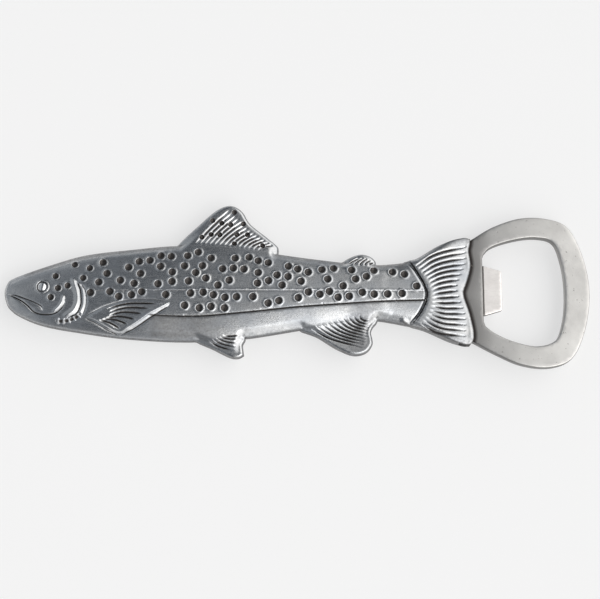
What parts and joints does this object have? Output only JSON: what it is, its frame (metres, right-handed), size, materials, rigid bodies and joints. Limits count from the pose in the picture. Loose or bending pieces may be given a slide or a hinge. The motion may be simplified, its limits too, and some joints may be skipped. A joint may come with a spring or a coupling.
{
  "type": "bottle opener",
  "caption": "Trout-shaped cast metal bottle opener: two relief flanks grip the tang of an oval opener loop with a cap-lifting lip.",
  "frame": {"origin": "centre of the bounding box in X and Y, on the plane that the opener lies on, with its flank down", "axes": "+X from the fish's nose to the far end of the opener loop, +Y from its belly to its dorsal fin, +Z out of the front flank"},
  "size_m": [0.19, 0.0542, 0.0112],
  "materials": {
    "antiqued_casting": "satin",
    "satin_casting": "satin",
    "lip_steel": "satin",
    "pin_steel": "satin",
    "polished_bead": "polished"
  },
  "bodies": {
    "root": {"front_flank": "antiqued_casting", "back_flank": "antiqued_casting", "opener_frame": "satin_casting", "cap_lip": "lip_steel", "tang_pin_fore": "pin_steel", "tang_pin_aft": "pin_steel", "head_dowel": "pin_steel", "body_dowel": "pin_steel", "front_eye": "polished_bead", "back_eye": "polished_bead"}
  },
  "joints": []
}
